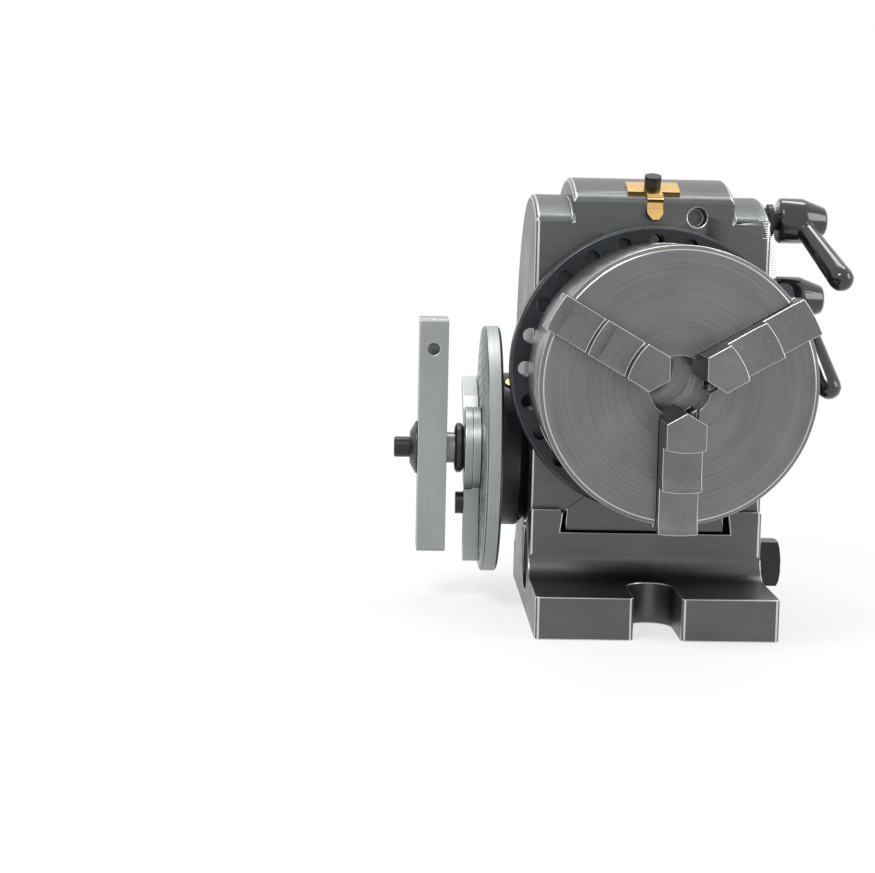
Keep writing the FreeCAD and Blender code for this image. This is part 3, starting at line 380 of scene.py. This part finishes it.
def finished_node(node, width, edge_finish="painted_edge_highlight_and_dial_line", finish=None, segments=2):
    """The CAD node's shape with its edges broken, in place of the node; by default the edges take a
    bright painted highlight.
    """
    source = frame["nodes"][node]
    bm = bmesh.new()
    bm.from_mesh(source.data)
    bmesh.ops.remove_doubles(bm, verts=bm.verts, dist=WELD)
    bmesh.ops.dissolve_limit(bm, angle_limit=math.radians(0.3), verts=bm.verts, edges=bm.edges)
    piece = piece_from(bm, node + "_finished", source["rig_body"], NODE_SLOT[node], finish, (node,))
    return edge_break(piece, width, segments, edge_finish)


def ring_of_points(bm, place, out, along, radius_at):
    """A ring of vertices about a line, its radius given as a function of the angle."""
    side = out.orthogonal().normalized()
    other = out.cross(side)
    points = []
    for i in range(RING_POINTS):
        a = 2 * math.pi * i / RING_POINTS
        points.append(bm.verts.new(place + out * along + (
            side * math.cos(a) + other * math.sin(a)) * radius_at(a)))
    return points


def bridge(bm, first, second):
    for i in range(len(first)):
        j = (i + 1) % len(first)
        bm.faces.new((first[i], first[j], second[j], second[i]))


def socket_screw(bm, place, out, head_r, head_h, shank_r, shank_l, key_r):
    """Cap screw with a hexagon socket: the head stands along out from place."""
    def hexagon(a):
        third = math.pi / 3
        return key_r / math.cos(a % third - third / 2)
    soft = HEAD_BEVEL * head_r
    levels = [(-shank_l, lambda a: shank_r), (0.0, lambda a: shank_r), (0.0, lambda a: head_r),
              (head_h - soft, lambda a: head_r), (head_h, lambda a: head_r - soft),
              (head_h, hexagon), (head_h * SOCKET_DEPTH, hexagon)]
    rings = [ring_of_points(bm, place, out, along, radius_at) for along, radius_at in levels]
    for first, second in zip(rings, rings[1:]):
        bridge(bm, first, second)
    bm.faces.new(list(reversed(rings[0])))
    bm.faces.new(rings[-1])


def scale_line(bm, centre, along, across, out, length, width, proud):
    """A thin raised line of a dial."""
    corners = []
    for lift in (-proud, proud):
        for a, b in ((-1, -1), (1, -1), (1, 1), (-1, 1)):
            corners.append(bm.verts.new(
                centre + along * (a * length / 2) + across * (b * width / 2) + out * lift))
    for face in ((0, 3, 2, 1), (4, 5, 6, 7), (0, 1, 5, 4), (1, 2, 6, 5), (2, 3, 7, 6), (3, 0, 4, 7)):
        bm.faces.new([corners[i] for i in face])


def rim_scale(name, body, axis, radius, edge, inward, degrees, slot):
    """Degree lines on a rim, from its edge inwards along the axis; tens are longer."""
    dial = settings().dial
    bm = bmesh.new()
    for degree in degrees:
        length = dial.long if degree % 10 == 0 else dial.short
        middle = axis.point(edge + inward * length / 2, radius, degree)
        out = axis.out(degree)
        scale_line(bm, middle, axis.along, axis.along.cross(out), out, length, dial.line, dial.proud)
    # the lines share the bright edge finish as their own colour
    return piece_from(bm, name, body, slot, "painted_edge_highlight_and_dial_line")


# ---- operators -----------------------------------------------------------------------------
class DIVHEAD_OT_finishes(bpy.types.Operator):
    """Make the finishes and give them to the parts that keep their CAD mesh"""
    bl_idname = "divhead.finishes"
    bl_label = "Finishes"

    def execute(self, context):
        FINISHES.update(make_finishes())
        for node in frame["nodes"]:
            dress_node(node)
        return {"FINISHED"}


class DIVHEAD_OT_castings(bpy.types.Operator):
    """Base and swivel body with their edges broken"""
    bl_idname = "divhead.castings"
    bl_label = "Castings"

    def execute(self, context):
        for node in ("base", "swivel_body"):
            # broken edges in a bright painted highlight
            finished_node(node, settings().edge.heavy)
        return {"FINISHED"}


class DIVHEAD_OT_chuck(bpy.types.Operator):
    """Chuck body, jaws and direct-index ring with their edges broken"""
    bl_idname = "divhead.chuck"
    bl_label = "Chuck"

    def execute(self, context):
        light = settings().edge.light
        for node in ("chuck_body", "jaw_1", "jaw_2", "jaw_3"):
            finished_node(node, light)
        # the ring's broken edges take a painted highlight
        finished_node("index_ring", light, "painted_highlight_oxide_edge")
        return {"FINISHED"}


class DIVHEAD_OT_worm_drive(bpy.types.Operator):
    """Worm housing, index plate, sector arms and crank bar with their edges broken"""
    bl_idname = "divhead.worm_drive"
    bl_label = "Worm drive"

    def execute(self, context):
        light = settings().edge.light
        for node in ("sector_arm_inner", "sector_arm_outer", "crank_bar"):
            finished_node(node, light)
        for node in ("worm_housing", "crank_washer", "index_plate"):
            # broken edges of the blackened parts take a painted highlight
            finished_node(node, light, "painted_highlight_oxide_edge")
        return {"FINISHED"}


class DIVHEAD_OT_levers(bpy.types.Operator):
    """Clamping levers with their edges broken"""
    bl_idname = "divhead.levers"
    bl_label = "Levers"

    def execute(self, context):
        for node in ("lock_lever", "plunger_lever"):
            finished_node(node, settings().edge.light, "gloss_black")
        return {"FINISHED"}


def node_span(node, axis):
    """Least and greatest place of a node along an axis."""
    low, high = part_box(node)
    ends = [(Vector(corner) - axis.origin).dot(axis.along) for corner in (low, high)]
    return min(ends), max(ends)


class DIVHEAD_OT_screws(bpy.types.Operator):
    """Crank screw with a hexagon socket"""
    bl_idname = "divhead.screws"
    bl_label = "Crank screw"

    def execute(self, context):
        low, high = node_span("crank_screw", WORM)
        washer_face = node_span("crank_washer", WORM)[0]
        bm = bmesh.new()
        socket_screw(bm, WORM.point(washer_face), -X, SCREW_HEAD_R, washer_face - low,
                     SCREW_SHANK_R, high - washer_face, SCREW_KEY_R)
        piece_from(bm, "crank_cap_screw", "worm", "black_oxide", replaces=("crank_screw",))
        return {"FINISHED"}


class DIVHEAD_OT_dials(bpy.types.Operator):
    """Degree lines on the direct-index ring and on the swivel body's shoulder"""
    bl_idname = "divhead.dials"
    bl_label = "Dials"

    def execute(self, context):
        back = node_span("index_ring", SPINDLE)[1]
        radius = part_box("index_ring")[1][0]
        rim_scale("ring_scale", "spindle", SPINDLE, radius, back - RING_MARGIN, -1,
                  range(0, 360, RING_SCALE_STEP), "black_oxide")
        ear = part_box("swivel_body")[1][0] - EAR_MARGIN
        rim_scale("tilt_scale", "head", TILT, SHOULDER_R, ear, -1,
                  range(-TILT_SCALE_SPAN, TILT_SCALE_SPAN + 1), "ground_iron")
        return {"FINISHED"}


# ---- stage -----------------------------------------------------------------------------------
CAMERA_PLACE = Vector((-0.10247, -0.78558, 0.15886))
CAMERA_YAW, CAMERA_PITCH, CAMERA_ROLL = 0.0254, 0.1159, 0.0194
SENSOR = 36.0
FLOOR_SIZE = 6.0
LAMPS = (("key", (-0.5, -0.75, 1.0), (0.5, 0.35), 1.0),    # name, place, size, share of key
         ("fill", (1.1, -0.5, 0.55), (0.5, 0.7), 0.5),
         ("top", (0.1, 0.35, 1.1), (0.9, 0.3), 0.6))
SHADOW_REACH, FLOOR_FADE = 0.10, 0.55   # the floor turns from shadow-keeping to plain white
SHADOW_WHITE = 0.72                     # share of plain white close to the object


def camera_matrix():
    forward = Vector((math.sin(CAMERA_YAW) * math.cos(CAMERA_PITCH),
                      math.cos(CAMERA_YAW) * math.cos(CAMERA_PITCH), -math.sin(CAMERA_PITCH)))
    right = Vector((math.cos(CAMERA_YAW), -math.sin(CAMERA_YAW), 0))
    up = right.cross(forward)
    turn = Matrix.Rotation(-CAMERA_ROLL, 3, forward)
    matrix = Matrix((turn @ right, turn @ up, -forward)).transposed().to_4x4()
    matrix.translation = CAMERA_PLACE
    return matrix


def seen_directly(tree):
    """One for rays of the camera, of reflections and of transmission, zero for other light."""
    path = add_node(tree, "ShaderNodeLightPath")
    seen = math_node(tree, "MAXIMUM", path.outputs["Is Camera Ray"], path.outputs["Is Glossy Ray"])
    return math_node(tree, "MAXIMUM", seen, path.outputs["Is Transmission Ray"])


def floor_material(colour):
    """A pale floor that keeps the object's shadow and is white where none falls."""
    material, tree = blank_material("stage_floor")
    diffuse = add_node(tree, "ShaderNodeBsdfDiffuse", {"Color": (*colour, 1)})
    glow = add_node(tree, "ShaderNodeEmission", {"Color": (1, 1, 1, 1), "Strength": 1.0})
    distance = vector_node(tree, "LENGTH", place_node(tree))
    white = stretched(tree, distance, SHADOW_WHITE, 1.0, SHADOW_REACH, FLOOR_FADE)
    share = math_node(tree, "MULTIPLY", seen_directly(tree), white)
    mix = add_node(tree, "ShaderNodeMixShader",
                   {0: share, 1: diffuse.outputs[0], 2: glow.outputs[0]})
    add_node(tree, "ShaderNodeOutputMaterial", {"Surface": mix.outputs[0]})
    return material


def build_world(strength):
    """Even light for the object, plain white to the camera and in reflections."""
    world = bpy.data.worlds.new("stage_world")
    world.use_nodes = True
    tree = world.node_tree
    tree.nodes.clear()
    level = stretched(tree, seen_directly(tree), strength, 1.0, 0.0, 1.0)
    back = add_node(tree, "ShaderNodeBackground", {"Color": (1, 1, 1, 1), "Strength": level})
    add_node(tree, "ShaderNodeOutputWorld", {"Surface": back.outputs[0]})
    bpy.context.scene.world = world


def area_lamp(name, place, target, size, power):
    data = bpy.data.lights.new(name, "AREA")
    data.shape = "RECTANGLE"
    data.size, data.size_y = size
    data.energy = power
    lamp = bpy.data.objects.new(name, data)
    lamp.matrix_world = Matrix.Translation(place) @ (
        (Vector(target) - Vector(place)).to_track_quat("-Z", "Y").to_matrix().to_4x4())
    bpy.context.scene.collection.objects.link(lamp)


class DIVHEAD_OT_stage(bpy.types.Operator):
    """Floor, world, lamps and camera"""
    bl_idname = "divhead.stage"
    bl_label = "Stage"

    def execute(self, context):
        stage = settings().stage
        scene = bpy.context.scene
        bm = bmesh.new()
        bmesh.ops.create_grid(bm, x_segments=1, y_segments=1, size=FLOOR_SIZE)
        mesh = bpy.data.meshes.new("stage_floor")
        bm.to_mesh(mesh)
        bm.free()
        mesh.materials.append(floor_material(stage.floor))
        floor = bpy.data.objects.new("stage_floor", mesh)
        scene.collection.objects.link(floor)
        build_world(stage.world)
        target = SPINDLE.origin
        for name, place, size, share in LAMPS:
            area_lamp(name, place, target, size, stage.key * share)
        data = bpy.data.cameras.new("camera")
        data.sensor_width, data.lens = SENSOR, stage.lens
        data.clip_start, data.clip_end = 0.01, 50
        camera = bpy.data.objects.new("camera", data)
        camera.matrix_world = camera_matrix()
        scene.collection.objects.link(camera)
        scene.camera = camera
        scene.view_settings.view_transform = "Standard"
        return {"FINISHED"}


class DIVHEAD_PT_panel(bpy.types.Panel):
    """The steps that dress the dividing head"""
    bl_idname = "DIVHEAD_PT_panel"
    bl_label = "Dividing head"
    bl_space_type = "VIEW_3D"
    bl_region_type = "UI"
    bl_category = "Dividing head"

    def draw(self, context):
        for step in STEPS:
            self.layout.operator(step.bl_idname)


SETTINGS = (FinishSettings, EdgeSettings, DialSettings, StageSettings, DividingHeadSettings)
STEPS = (DIVHEAD_OT_finishes, DIVHEAD_OT_castings, DIVHEAD_OT_chuck, DIVHEAD_OT_worm_drive,
         DIVHEAD_OT_levers, DIVHEAD_OT_screws, DIVHEAD_OT_dials, DIVHEAD_OT_stage)
CLASSES = SETTINGS + STEPS + (DIVHEAD_PT_panel,)


def register():
    for cls in CLASSES:
        bpy.utils.register_class(cls)
    bpy.types.Scene.dividing_head = PointerProperty(type=DividingHeadSettings)


def unregister():
    del bpy.types.Scene.dividing_head
    for cls in reversed(CLASSES):
        bpy.utils.unregister_class(cls)


def main():
    register()
    for step in STEPS:
        group, name = step.bl_idname.split(".")
        getattr(getattr(bpy.ops, group), name)()


if __name__ == "__main__":
    main()
